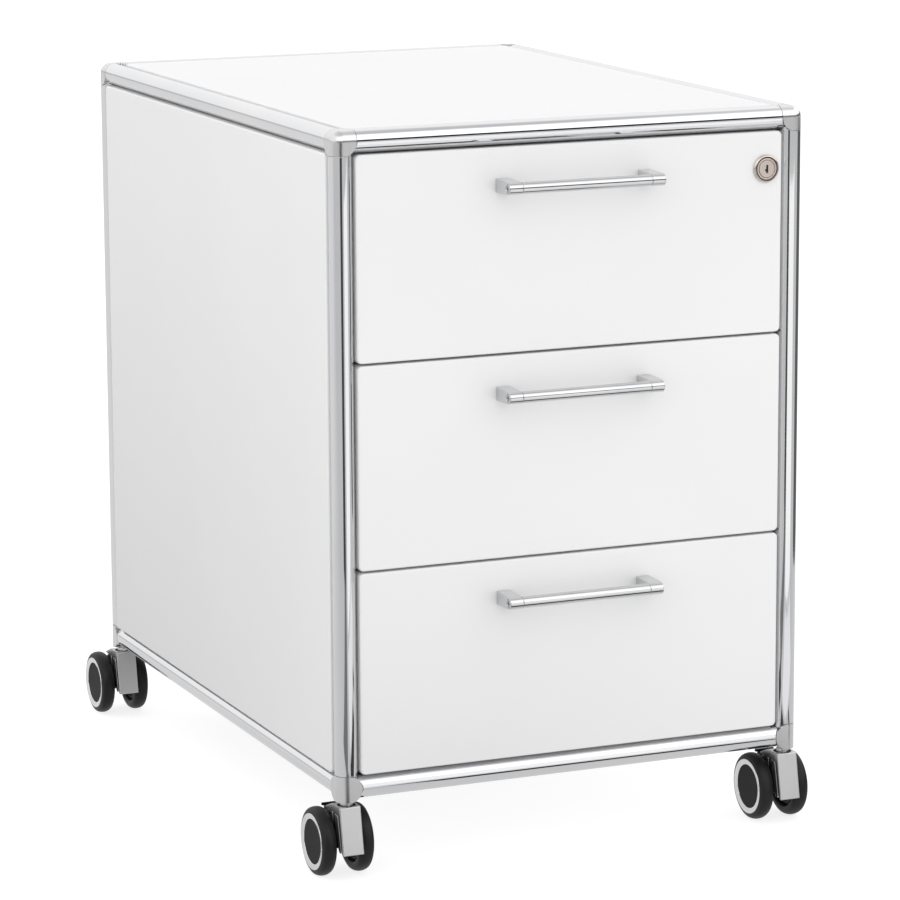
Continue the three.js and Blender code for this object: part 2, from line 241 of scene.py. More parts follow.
def loft(rings, closed=False):
    """Joins rings of points, capping both ends unless the rings close on themselves."""
    count = len(rings[0])
    points = [Vector(p) for ring in rings for p in ring]
    faces = []
    for r in range(len(rings) if closed else len(rings) - 1):
        a = r * count
        b = ((r + 1) % len(rings)) * count
        faces += [(a + i, a + (i + 1) % count, b + (i + 1) % count, b + i) for i in range(count)]
    if not closed:
        faces.append(tuple(range(count)))
        faces.append(tuple(range((len(rings) - 1) * count, len(rings) * count)))
    return points, faces


def moved(shape, matrix):
    points, faces = shape
    return [matrix @ p for p in points], faces


def at(x, y, z):
    return Matrix.Translation((x, y, z))


def turn(degrees, axis):
    return Matrix.Rotation(math.radians(degrees), 4, axis)


def flip(x=1, y=1, z=1):
    return Matrix.Diagonal((x, y, z, 1))


def softened(points, radius, steps=4, closed=False):
    """A path with its corners rounded."""
    result = []
    last = len(points) - 1
    for i, point in enumerate(points):
        if not closed and i in (0, last):
            result.append(tuple(point))
            continue
        here = Vector(point)
        before = Vector(points[i - 1]) - here
        after = Vector(points[(i + 1) % len(points)]) - here
        start = here + before.normalized() * min(radius, before.length * 0.48)
        end = here + after.normalized() * min(radius, after.length * 0.48)
        for k in range(steps + 1):
            t = k / steps
            result.append(tuple(start * (1 - t) ** 2 + here * (2 * t * (1 - t)) + end * t**2))
    return result


def lathe(profile, segments=96, closed=False):
    """Turns (radius, height) points about Z."""
    rings = []
    for radius, height in profile:
        ring = []
        for i in range(segments):
            angle = 2 * math.pi * i / segments
            ring.append((radius * math.cos(angle), radius * math.sin(angle), height))
        rings.append(ring)
    return loft(rings, closed)


def along_x(shape):
    """Turns a shape made along Z so that it lies along X."""
    return moved(shape, turn(90, "Y"))


def towards_front(shape):
    """Turns a shape whose top is +Z so that its top looks along -Y."""
    return moved(shape, turn(90, "X"))


def slab(outline, thickness):
    """A flat outline raised along Z, centred on z = 0."""
    half = thickness / 2
    return loft([[(x, y, z) for x, y in outline] for z in (-half, half)])


def across(outline, width, shift=0.0):
    """A side outline given as (y, z), spread across X."""
    low, high = shift - width / 2, shift + width / 2
    return loft([[(x, y, z) for y, z in outline] for x in (low, high)])


def rounded_rectangle(half_x, half_y, radius, steps=6):
    points = []
    for quarter, (sx, sy) in enumerate(((1, 1), (-1, 1), (-1, -1), (1, -1))):
        for k in range(steps + 1):
            angle = (quarter + k / steps) * math.pi / 2
            points.append(
                (
                    sx * (half_x - radius) + radius * math.cos(angle),
                    sy * (half_y - radius) + radius * math.sin(angle),
                )
            )
    return points


def pan(width, height, corner, profile):
    """Rounded rectangles through (inset_x, inset_y, z) steps, the first and last closed by a face."""
    rings = []
    for inset_x, inset_y, z in profile:
        radius = max(corner - min(inset_x, inset_y), 0.3)
        outline = rounded_rectangle(width / 2 - inset_x, height / 2 - inset_y, radius)
        rings.append([(x, y, z) for x, y in outline])
    return loft(rings)


def quarter(radius, steps=5):
    """(inset, drop) steps round an edge, from the flat face to the side."""
    return [
        (radius * (1 - math.sin(k / steps * math.pi / 2)), radius * (1 - math.cos(k / steps * math.pi / 2)))
        for k in range(steps + 1)
    ]


def piece(name, shape, body, material, replaces=(), bevel=0.0, sharp=32):
    """Makes a shape a piece of the object: it rides on a body and may stand for CAD nodes."""
    points, faces = shape
    mesh = bpy.data.meshes.new(name)
    mesh.from_pydata([p * MM for p in points], [], faces)
    work = bmesh.new()
    work.from_mesh(mesh)
    bmesh.ops.remove_doubles(work, verts=work.verts, dist=1e-7)
    bmesh.ops.dissolve_degenerate(work, edges=work.edges, dist=1e-8)
    bmesh.ops.recalc_face_normals(work, faces=work.faces)
    work.to_mesh(mesh)
    work.free()
    mesh.shade_smooth()
    mesh.set_sharp_from_angle(angle=math.radians(sharp))
    made = bpy.data.objects.new(name, mesh)
    bpy.context.scene.collection.objects.link(made)
    mesh.materials.append(material)
    if bevel:
        edge = made.modifiers.new("soft_edges", "BEVEL")
        edge.width = bevel * MM
        edge.segments = 3
        edge.limit_method = "ANGLE"
        edge.angle_limit = math.radians(sharp)
    weight = made.modifiers.new("flat_faces", "WEIGHTED_NORMAL")
    weight.keep_sharp = True
    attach(made, body)
    if replaces:
        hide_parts(*replaces)
    return made


def combine(base, tool, operation):
    """Joins or cuts two shapes and returns the result as a shape."""
    made = []
    for points, faces in (base, tool):
        mesh = bpy.data.meshes.new("work")
        mesh.from_pydata(points, [], faces)
        work = bmesh.new()
        work.from_mesh(mesh)
        bmesh.ops.remove_doubles(work, verts=work.verts, dist=1e-5)
        bmesh.ops.recalc_face_normals(work, faces=work.faces)
        work.to_mesh(mesh)
        work.free()
        made.append(bpy.data.objects.new("work", mesh))
        bpy.context.scene.collection.objects.link(made[-1])
    step = made[0].modifiers.new("combine", "BOOLEAN")
    step.operation = operation
    step.solver = "EXACT"
    step.object = made[1]
    graph = bpy.context.evaluated_depsgraph_get()
    result = made[0].evaluated_get(graph).to_mesh()
    points = [v.co.copy() for v in result.vertices]
    faces = [tuple(f.vertices) for f in result.polygons]
    for work in made:
        bpy.data.objects.remove(work)
    return points, faces


# ---------------------------------------------------------------- tube frame


def arc_points(radius, start, stop, steps=24):
    """Points round an arc, its two angles in degrees."""
    angles = [math.radians(start + (stop - start) * k / steps) for k in range(steps + 1)]
    return [(radius * math.cos(angle), radius * math.sin(angle)) for angle in angles]


def joint_edge(across_one, across_two, reach, through):
    """How far from a node a joint ends on a tube, at a point of the tube's section."""

    def edge(offset, both_ways):
        return math.sqrt(reach**2 - offset**2) if both_ways or offset > 0 else reach

    return min(edge(across_one, False), edge(across_two, through))


def tube_shape(length, through, segments=96):
    """A tube along X whose ends follow the joints and meet the other tubes in mitres.

    The other two tubes of each node run along +Y and +Z. A through joint is a disc below too.
    """
    chamfer = 0.45
    nib = 0.12
    ends = []
    for i in range(segments):
        angle = 2 * math.pi * i / segments
        one = TUBE * math.cos(angle)
        two = TUBE * math.sin(angle)
        mitre = max(one, two) + GAP / 2
        ends.append((angle, max(joint_edge(one, two, REACH + GAP, through), mitre)))

    def ring(radius, extra, side):
        return [
            (side * (length / 2 - end - extra), radius * math.cos(angle), radius * math.sin(angle))
            for angle, end in ends
        ]

    steps = [(BORE, 0), (TUBE - chamfer, 0), (TUBE - nib, nib), (TUBE, chamfer)]
    left = [ring(radius, extra, -1) for radius, extra in steps]
    right = [ring(radius, extra, 1) for radius, extra in reversed(steps)]
    return loft(left + right, closed=True)


def joint_prism(through):
    """A joint's outline along one axis: as round as a tube outside, and a disc inside."""
    outer = [(-TUBE, -REACH)] if through else arc_points(TUBE, 180, 270)
    inner = arc_points(REACH, -90, 90, 48) if through else [(REACH, -TUBE)] + arc_points(REACH, 0, 90)
    return slab(outer + inner + [(-TUBE, REACH)], 4 * REACH)


def rod(axis, radius, start, stop, segments=96):
    bar = lathe([(radius, start), (radius, stop)], segments)
    if axis == "x":
        return along_x(bar)
    if axis == "y":
        return moved(bar, turn(-90, "X"))
    return bar


def connector_shape(through):
    """A corner connector whose tubes run along +X, +Y and +Z.

    A through one stands on the castor's collar, and is bored for its stem.
    """
    side = joint_prism(through)
    core = joint_prism(False)
    for matrix in (turn(90, "X"), turn(90, "Z") @ turn(90, "X")):
        core = combine(core, moved(side, matrix), "INTERSECT")
    if not through:
        ball = lathe([(0, -TUBE)] + arc_points(TUBE, -90, 90, 48)[1:-1] + [(0, TUBE)])
        far = TUBE + 3
        octant = moved(slab([(-far, -far), (0, -far), (0, 0), (-far, 0)], far), at(0, 0, -far / 2))
        core = combine(core, combine(octant, ball, "DIFFERENCE"), "DIFFERENCE")
    for axis in "xyz":
        core = combine(core, rod(axis, PLUG, 0, PLUG_LENGTH, 48), "UNION")
    if through:
        core = combine(core, rod("z", STEM_BORE, -REACH - 1, 6, 48), "DIFFERENCE")
    return core


def true_normal(spots, facing, through):
    """A rule for the exact outward direction on a connector's round face, or None on a flat one."""
    tolerance = 0.03
    centre = sum(spots, Vector()) / len(spots)

    def lies_on(points, radius, outside_only):
        return all(
            abs(p.length - radius) < tolerance and (max(p) < tolerance or not outside_only) for p in points
        )

    if not through and lies_on(spots, TUBE, True):
        return lambda p: p.normalized()
    for axis in range(3):

        def outward(p, axis=axis):
            flattened = p.copy()
            flattened[axis] = 0
            return flattened

        flat = [outward(p) for p in spots]
        faces_out = outward(centre).normalized().dot(facing) > 0.8
        if faces_out and (lies_on(flat, TUBE, True) or lies_on(flat, REACH, False)):
            return lambda p, outward=outward: outward(p).normalized()
    return None


def set_true_normals(made, place, mirror, through):
    """Gives a connector the exact normals of its round surfaces, so chrome reflects cleanly."""
    mesh = made.data
    back = (place @ mirror).inverted()
    turned = mirror.to_3x3()
    normals = []
    for polygon in mesh.polygons:
        spots = [back @ (mesh.vertices[index].co / MM) for index in polygon.vertices]
        rule = true_normal(spots, turned @ polygon.normal, through)
        normals += [turned @ rule(spot) if rule else polygon.normal for spot in spots]
    made.modifiers.clear()
    mesh.normals_split_custom_set(normals)


def build_frame():
    width = SIDES["right"] - SIDES["left"]
    depth = ENDS["rear"] - ENDS["front"]
    height = LEVELS["top"] - LEVELS["bottom"]
    mid_y = (ENDS["front"] + ENDS["rear"]) / 2
    mid_z = (LEVELS["bottom"] + LEVELS["top"]) / 2
    post_tube = moved(tube_shape(height, False), turn(-90, "Y"))
    joints = {level: connector_shape(level == "bottom") for level in LEVELS}
    inward = {"front": 1, "rear": -1, "left": 1, "right": -1, "bottom": 1, "top": -1}
    for level, z in LEVELS.items():
        through = level == "bottom"
        width_tube = tube_shape(width, through)
        depth_tube = moved(tube_shape(depth, through), turn(90, "Z"))
        for end, y in ENDS.items():
            name = f"rail_{level}_{end}"
            shape = moved(width_tube, at(0, y, z) @ flip(1, inward[end], inward[level]))
            piece(f"tube_{name}", shape, node_body[name], CHROME, [name])
        for side, x in SIDES.items():
            name = f"rail_{level}_{side}"
            shape = moved(depth_tube, at(x, mid_y, z) @ flip(-inward[side], 1, inward[level]))
            piece(f"tube_{name}", shape, node_body[name], CHROME, [name])
    for end, y in ENDS.items():
        for side, x in SIDES.items():
            name = f"post_{end}_{side}"
            shape = moved(post_tube, at(x, y, mid_z) @ flip(-inward[side], inward[end], 1))
            piece(f"tube_{name}", shape, node_body[name], CHROME, [name])
            for level, z in LEVELS.items():
                name = f"connector_{level}_{end}_{side}"
                mirror = flip(inward[side], inward[end], inward[level])
                place = at(x, y, z)
                shape = moved(joints[level], place @ mirror)
                made = piece(f"corner_{name}", shape, node_body[name], CAST_CHROME, [name])
                set_true_normals(made, place, mirror, level == "bottom")


# ---------------------------------------------------------------- panels


PANEL_CORNER = 4.0
FOLD = 1.5
HEM = 0.8
LIP = 12.0


def folded_panel(width, height, depth, lip_x, lip_y):
    """A sheet folded back on all four edges, its face at z = 0 looking along +Z."""
    face = [(inset, inset, -drop) for inset, drop in quarter(FOLD)]
    hem = [(inset, inset, -depth + drop) for inset, drop in quarter(HEM, 3)][::-1]
    inner = SHEET
    rest = [
        (inner + lip_x, inner + lip_y, -depth),
        (inner + lip_x + 0.01, inner + lip_y + 0.01, -depth + SHEET),
        (inner, inner, -depth + SHEET + 0.01),
        (inner, inner, -SHEET - 0.6),
        (inner + 0.6, inner + 0.6, -SHEET),
    ]
    return pan(width, height, PANEL_CORNER, face + hem + rest)


def build_panels():
    for name, matrix, axes in (
        ("panel_left", turn(-90, "Z") @ turn(90, "X"), "yz"),
        ("panel_right", turn(90, "Z") @ turn(90, "X"), "yz"),
        ("panel_rear", turn(180, "Z") @ turn(90, "X"), "xz"),
        ("panel_top", Matrix(), "xy"),
        ("panel_base", turn(180, "X"), "xy"),
    ):
        low, high = corners(name)
        size = high - low
        centre = (low + high) / 2
        width, height = (getattr(size, axis) for axis in axes)
        depth = getattr(size, (set("xyz") - set(axes)).pop())
        outward = (matrix @ Vector((0, 0, 1))).to_3d()
        place = centre + outward * depth / 2
        shape = moved(folded_panel(width, height, depth, LIP, LIP), at(*place) @ matrix)
        piece(f"cover_{name}", shape, node_body[name], PAINT, [name], sharp=50)


# ---------------------------------------------------------------- drawers

HANDLE_REACH = 24.5
BAR = 5.0
FOOT_WIDTH = 12.0
FOOT_HEIGHT = 11.6
LOCK_HOLE = 9.5
RAIL_DEPTH = 10.0
RAIL_HEIGHT = 24.0
RAIL_LENGTH = 500.0


def handle_foot():
    """One foot, standing on y = 0 and reaching towards -Y, its nose round the bar."""
    nose = [(-HANDLE_REACH - across_y, along_z) for along_z, across_y in arc_points(BAR, 0, 180)]
    lean = -HANDLE_REACH + 6
    outline = [(-GAP, FOOT_HEIGHT / 2), (lean, FOOT_HEIGHT / 2 - 0.4)]
    outline += nose
    outline += [(lean, -FOOT_HEIGHT / 2 + 0.4), (-GAP, -FOOT_HEIGHT / 2)]
    return across(outline, FOOT_WIDTH)


def build_handle(name):
    node = f"drawer_{name}_handle"
    low, high = corners(node)
    body = node_body[node]
    place = at((low.x + high.x) / 2, low.y + HANDLE_REACH + BAR, (low.z + high.z) / 2)
    foot_x = (high.x - low.x) / 2 - FOOT_WIDTH / 2
    seat = along_x(lathe([(3.6, -1.0), (3.6, 1.0)], 48))
    span = foot_x - FOOT_WIDTH / 2 - 0.12
    bar = along_x(lathe(softened([(0, -span), (BAR - 0.12, -span), (BAR - 0.12, span), (0, span)], 0.2)))
    piece(f"{name}_handle_bar", moved(bar, place @ at(0, -HANDLE_REACH, 0)), body, HANDLE_CHROME, [node])
    for side, sign in (("left", -1), ("right", 1)):
        outer = at(sign * FOOT_WIDTH / 2, -HANDLE_REACH, 0)
        foot = combine(handle_foot(), moved(seat, outer), "DIFFERENCE")
        piece(
            f"{name}_handle_foot_{side}", moved(foot, place @ at(sign * foot_x, 0, 0)), body, HANDLE_CHROME,
            bevel=0.45, sharp=40,
        )
        head = along_x(lathe(softened([(0, -0.9), (3.45, -0.9), (3.45, -0.15), (3.2, 0), (0, 0)], 0.25), 48))
        for angle in (0, 90):
            slot = moved(slab(rounded_rectangle(2.3, 0.55, 0.3), 1.4), turn(angle, "Z"))
            head = combine(head, moved(along_x(slot), at(-0.1 if sign < 0 else 0.1, 0, 0)), "DIFFERENCE")
        spot = place @ at(sign * (foot_x + FOOT_WIDTH / 2 - 0.25), -HANDLE_REACH, 0)
        piece(f"{name}_handle_screw_{side}", moved(head, spot @ flip(sign, 1, 1)), body, STEEL, sharp=30)


def build_front(name):
    node = f"drawer_{name}_front"
    low, high = corners(node)
    size = high - low
    place = at((low.x + high.x) / 2, low.y, (low.z + high.z) / 2)
    shape = moved(towards_front(folded_panel(size.x, size.z, size.y, 0.0, LIP)), place)
    if name == "top":
        lock = middle("lock_housing")
        hole = moved(rod("y", LOCK_HOLE, -4, 4, 64), at(lock.x, low.y, lock.z))
        shape = combine(shape, hole, "DIFFERENCE")
    piece(f"{name}_drawer_front", shape, node_body[node], PAINT, [node], sharp=50)


def channel(length, height, depth, gauge):
    """A C section along Y with its back at x = 0, open towards -X, from y = 0."""
    half = height / 2
    path = softened([(-depth, half), (0, half), (0, -half), (-depth, -half)], 2.2, 4)
    inside = []
    outside = []
    for i, point in enumerate(path):
        before = Vector(path[max(i - 1, 0)])
        after = Vector(path[min(i + 1, len(path) - 1)])
        along = (after - before).normalized()
        normal = Vector((-along.y, along.x)) * gauge
        outside.append(tuple(point))
        inside.append(tuple(Vector(point) - normal))
    section = outside + inside[::-1]
    return loft([[(x, y, z) for x, z in section] for y in (0, length)])


def box_profile(height):
    """(inset_x, inset_y, z) steps up the outside of a drawer box, over its rolled rim and down inside."""
    rim = 2.4
    roll = 0.9
    outside = [(inset, drop) for inset, drop in quarter(1.2, 3)]
    outside += [(0, height - roll), (0.25, height - 0.3), (roll, height)]
    inside = [(rim - roll, height), (rim - 0.25, height - 0.3), (rim, height - roll)]
    inside += [(rim, height - 9), (SHEET, height - 9.4)]
    inside += [(SHEET, SHEET + 1.2), (SHEET + 0.4, SHEET + 0.4), (SHEET + 1.2, SHEET)]
    return [(inset, inset, z) for inset, z in outside + inside]


def build_box(name):
    node = f"drawer_{name}_box"
    low, high = corners(node)
    body = node_body[node]
    half = high.x - RAIL_DEPTH
    shape = pan(2 * half, high.y - low.y, 2.5, box_profile(high.z - low.z))
    shape = moved(shape, at(0, (low.y + high.y) / 2, low.z))
    piece(f"{name}_drawer_box", shape, body, PAINT, [node], sharp=50)
    track_z = middle(f"runner_{name}_right").z
    for side, sign in (("left", -1), ("right", 1)):
        rail = moved(channel(RAIL_LENGTH, RAIL_HEIGHT, RAIL_DEPTH - GAP, 1.4), flip(-sign, 1, 1))
        spot = at(sign * (half + 0.2), low.y + 4, track_z)
        piece(f"{name}_drawer_rail_{side}", moved(rail, spot), body, ZINC, sharp=40)


def build_runner(name):
    for side, sign in (("left", -1), ("right", 1)):
        node = f"runner_{name}_{side}"
        low, high = corners(node)
        depth = high.x - low.x
        shape = channel(high.y - low.y, high.z - low.z, depth, 1.2)
        back = high.x if sign > 0 else low.x
        place = at(back, low.y, (low.z + high.z) / 2) @ flip(sign, 1, 1)
        piece(f"{name}_runner_{side}", moved(shape, place), node_body[node], ZINC, [node], sharp=40)


def turned_about_y(profile):
    """A closed section of (radius, y) points, turned about Y."""
    return towards_front(lathe([(radius, -y) for radius, y in profile], 96, True))


def build_lock():
    low, high = corners("lock_housing")
    body = node_body["lock_housing"]
    centre = (low + high) / 2
    place = at(centre.x, low.y + 3.0, centre.z)
    rim = (high.x - low.x) / 2
    flange = softened(
        [
            (9.1, -GAP), (rim, -GAP), (rim, -1.3), (rim - 0.9, -2.5), (10.2, -2.9),
            (10.0, -2.2), (10.0, -1.2), (9.1, -1.2),
        ],
        0.35, 4, True,
    )
    shape = moved(turned_about_y(flange), place)
    piece("lock_flange", shape, body, BRIGHT_NICKEL, ["lock_housing"])
    # Painted shade: a dark ring fills the inner half of the groove behind the flange, standing for the shade
    # in it.
    groove = turned_about_y([(9.12, -1.25), (9.6, -1.25), (9.6, -2.45), (9.12, -2.45)])
    piece("lock_groove_shade", moved(groove, place), body, GROOVE_SHADE)
    barrel = softened(
        [(7.55, -2.3), (7.7, -2.8), (8.75, -2.8), (9.05, -2.5), (9.05, 16), (7.55, 16)], 0.2, 3, True
    )
    piece("lock_barrel", moved(turned_about_y(barrel), place), body, NICKEL)
    build_lock_plug(place)


def key_slot(half_width, half_height, corner, depth):
    return slab(rounded_rectangle(half_width, half_height, corner), depth)


def build_lock_plug(place):
    body = node_body["lock_plug"]
    side_ward = at(-0.7, -1.0, 0)
    mouth = at(0, 0, 3.2)
    plug = lathe(softened([(0, -19), (7.25, -19), (7.25, 2.7), (6.95, 3.05), (0, 3.05)], 0.2, 3))
    plug = combine(plug, moved(key_slot(0.95, 3.5, 0.7, 6), mouth), "DIFFERENCE")
    plug = combine(plug, moved(key_slot(1.3, 0.9, 0.5, 6), mouth @ side_ward), "DIFFERENCE")
    piece("lock_key_plug", moved(towards_front(plug), place), body, NICKEL, ["lock_plug"])
    # Painted shade: a near-black slab fills the bottom of the key slot, standing for the shade inside the
    # keyhole.
    keyway_shade = combine(
        key_slot(0.9, 3.45, 0.65, 2.2), moved(key_slot(1.25, 0.85, 0.45, 2.2), side_ward), "UNION"
    )
    piece("lock_keyway_shade", moved(towards_front(moved(keyway_shade, at(0, 0, 1.4))), place), body, SHADOW)
    cam = slab(softened([(-4.5, 5), (4.5, 5), (4.5, -13), (-4.5, -13)], 3.5, 5, True), 2.0)
    piece("lock_cam", moved(towards_front(cam), place @ at(0, 20, 0)), body, ZINC, bevel=0.3)


# ---------------------------------------------------------------- castors

HEAD_WIDTH = 18.6
COLLAR = 5.6
SWIVEL_GROOVE = 7.8


def build_wheel(name, hub):
    """Tyre, bright dished ring and flat hub disc, turning on X."""
    for side, sign in (("left", -1), ("right", 1)):
        node = f"{name}_wheel_{side}"
        low, high = corners(node)
        body = node_body[node]
        width = high.x - low.x
        inner = low.x if sign > 0 else high.x
        place = at(inner - sign * 0.3, hub.y, hub.z) @ flip(sign, 1, 1)
        tyre = softened(
            [
                (20.6, 5.0), (21.2, 0.6), (24.5, 0.35), (27.3, 1.2), (WHEEL, 4.6), (WHEEL, 8.9),
                (27.6, 12.2), (24.6, 13.2), (23.3, 13.3), (22.6, 11.6), (20.6, 11.0),
            ],
            1.7, 6, True,
        )
        piece(f"{node}_tyre", moved(along_x(lathe(tyre, 112, True)), place), body, RUBBER, [node])
        ring = softened(
            [(18.9, 11.9), (19.0, 12.75), (23.2, width), (23.75, width - 0.1), (23.75, 13.0), (22.8, 11.9)],
            0.3, 3, True,
        )
        piece(f"{node}_trim_ring", moved(along_x(lathe(ring, 112, True)), place), body, RING)
        disc = softened([(0, 10.0), (18.6, 10.0), (18.75, 12.2), (18.3, 12.55), (0, 12.5)], 0.3, 3)
        piece(f"{node}_hub_disc", moved(along_x(lathe(disc, 96)), place), body, HUB)
        inside = softened(
            [
                (3.35, 0.4), (8.6, 0.4), (9.0, 4.6), (12.4, 4.7), (12.6, 3.4), (13.5, 3.4), (13.7, 4.7),
                (17.2, 4.7), (17.4, 3.2), (18.4, 3.2), (18.6, 4.7), (20.5, 4.8), (20.5, 9.9), (3.35, 9.9),
            ],
            0.25, 3, True,
        )
        piece(f"{node}_hub_web", moved(along_x(lathe(inside, 96, True)), place), body, RUBBER)


def build_castor_head(name, place):
    """The shield, the head plate with a painted-shade ring in its swivel groove, and the stem."""
    body = node_body[f"{name}_housing"]
    shield = [(-8.5, -14.8), (-7.0, -14.6), (-5.6, -20), (-13.0, -54), (-16, -54)]
    shape = moved(across(shield, HEAD_WIDTH), place)
    piece(f"{name}_front_shield", shape, body, SATIN, [f"{name}_housing"], bevel=0.7, sharp=25)
    section = [(COLLAR, -16.4), (SWIVEL_GROOVE, -16.4), (SWIVEL_GROOVE, -13.0), (COLLAR, -13.0)]
    groove = lathe(section, 64, True)
    outline = [(-7.4, -14.5), (9, -14.5), (23.5, -20.3), (23.5, -21.5), (-6.0, -21.5)]
    head = combine(across(outline, HEAD_WIDTH), groove, "DIFFERENCE")
    piece(f"{name}_head_plate", moved(head, place), body, SATIN, bevel=0.5, sharp=25)
    # Painted shade: a near-black ring set in the swivel groove, standing for the shade in the gap.
    inner, outer = COLLAR + 0.05, SWIVEL_GROOVE - 0.05
    section = [(inner, -16.3), (outer, -16.3), (outer, -15.2), (inner, -15.2)]
    ring = lathe(softened(section, 0.2, 2, True), 64, True)
    piece(f"{name}_swivel_gap_shade", moved(ring, place), body, SHADOW)
    section = [(0, -19), (COLLAR, -19), (COLLAR, -12.0), (5.2, -11.3), (4.2, -11.3), (4.2, 4), (0, 4)]
    stem = lathe(softened(section, 0.5, 4), 72)
    piece(f"{name}_stem", moved(stem, place), body, SATIN)


def build_castor_fork(name, place):
    """The black web between the wheels, and the cheeks and flanges on its two sides."""
    body = node_body[f"{name}_housing"]
    web = [(-8, -20.4), (8, -20.4), (19, -42), (19, -54), (-12.5, -50)]
    piece(f"{name}_web", moved(across(web, HEAD_WIDTH - 4), place), body, PLASTIC, bevel=0.5, sharp=25)
    cheek = softened(
        [(8, -20.5), (16, -20.5), (25, -26), (33, -28), (33, -34), (24, -46), (10, -46)], 3.5, 5, True
    )
    flange = softened([(-3.9, -22.3), (4, -21.8), (1, -38), (-6, -53.2), (-10.9, -53.2)], 2.4, 4, True)
    for tag, sign in (("left", -1), ("right", 1)):
        shape = across(cheek, 1.8, sign * (HEAD_WIDTH / 2 - 1.0))
        piece(f"{name}_cheek_{tag}", moved(shape, place), body, SATIN, bevel=0.35, sharp=40)
        shape = across(flange, 1.1, sign * (HEAD_WIDTH / 2 - 0.55))
        piece(f"{name}_side_flange_{tag}", moved(shape, place), body, SATIN, bevel=0.3, sharp=40)


def build_castor_axle(name, hub):
    boss = lathe(softened([(3.3, -9.1), (8, -9.1), (8, 9.1), (3.3, 9.1)], 0.8, 3, True), 64, True)
    piece(f"{name}_axle_boss", moved(along_x(boss), at(*hub)), node_body[f"{name}_housing"], PLASTIC)
    node = f"{name}_axle"
    low, high = corners(node)
    reach = (high.x - low.x) / 2
    axle = lathe(softened([(0, -reach), (3, -reach), (3, reach), (0, reach)], 0.5, 3), 48)
    piece(f"{name}_axle_pin", moved(along_x(axle), at(*hub)), node_body[node], STEEL, [node])


def build_castor(end, side):
    name = f"castor_{end}_{side}"
    stem = Vector((SIDES[side], ENDS[end], LEVELS["bottom"]))
    hub = Vector((stem.x, stem.y + TRAIL, WHEEL))
    place = at(*stem)
    build_castor_head(name, place)
    build_castor_fork(name, place)
    build_castor_axle(name, hub)
    build_wheel(name, hub)
    if end == "front":
        build_brake(name, place)


def build_brake(name, place):
    node = f"{name}_brake_lever"
    body = node_body[node]
    pivot = at(0, 29, -30)
    arm = softened(
        [(26, -25.5), (33, -22.5), (34, -22.5), (34, -26), (32, -33.5), (25.8, -33.5)], 0.9, 3, True
    )
    bore = along_x(lathe([(2.0, -10), (2.0, 10)], 32))
    shape = combine(across(arm, 13.6), moved(bore, pivot), "DIFFERENCE")
    piece(f"{name}_brake_arm", moved(shape, place), body, PLASTIC, [node], bevel=0.4, sharp=40)
    pad = softened([(32.4, -20.8), (34.6, -20.8), (34.6, -23), (32.4, -23)], 0.4, 3, True)
    piece(f"{name}_brake_pad", moved(across(pad, 17.8), place), body, PLASTIC, bevel=0.4, sharp=40)
    pin = lathe(softened([(0, -9.3), (1.6, -9.3), (1.6, 9.3), (0, 9.3)], 0.3, 2), 32)
    piece(f"{name}_brake_pin", moved(along_x(pin), place @ pivot), node_body[f"{name}_housing"], STEEL)


# ---------------------------------------------------------------- studio


def quad(name, points):
    mesh = bpy.data.meshes.new(name)
    mesh.from_pydata(points, [], [(0, 1, 2, 3)])
    made = bpy.data.objects.new(name, mesh)
    bpy.context.scene.collection.objects.link(made)
    return made


def card(name, centre, width, height, strength, facing=0.0, tilt=0.0):
    """A grey studio card that only polished surfaces see, upright unless it is tilted."""
    half_w, half_h = width / 2, height / 2
    made = quad(
        name, [(-half_w, 0, -half_h), (half_w, 0, -half_h), (half_w, 0, half_h), (-half_w, 0, half_h)]
    )
    made.matrix_world = at(*centre) @ turn(facing, "Z") @ turn(tilt, "X")
    for kind in ("camera", "diffuse", "shadow", "transmission"):
        setattr(made, f"visible_{kind}", False)
    material = bpy.data.materials.new(name)
    material.use_nodes = True
    nodes = Nodes(material.node_tree)
    nodes.add("ShaderNodeOutputMaterial", Surface=nodes.glow(strength).outputs[0])
    made.data.materials.append(material)


def build_cards():
    """What the chrome reflects: a lamp face and dark flags round the front of the cabinet."""
    card("flag_front_left", (-0.44, -1.35, 0.45), 0.42, 0.9, 0.06)
    card("flag_floor_left", (-0.36, -0.98, 0.0015), 0.3, 0.74, 0.2, tilt=90)
    card("lamp_front_right", (0.31, -1.05, 0.24), 0.72, 0.44, 1.12)
    card("lamp_floor_right", (0.31, -0.85, 0.002), 0.72, 0.4, 0.95, tilt=90)
    card("flag_right", (1.2, -0.22, 0.25), 1.05, 0.5, 0.12, facing=90)
    card("flag_floor", (0.075, -0.53, 0.001), 0.75, 0.18, 0.05, tilt=90)
    card("lamp_floor_foot_left", (-0.103, -0.555, 0.0015), 0.09, 0.24, 0.62, tilt=90)
    card("lamp_floor_foot_right", (0.337, -0.555, 0.0015), 0.09, 0.24, 0.62, tilt=90)


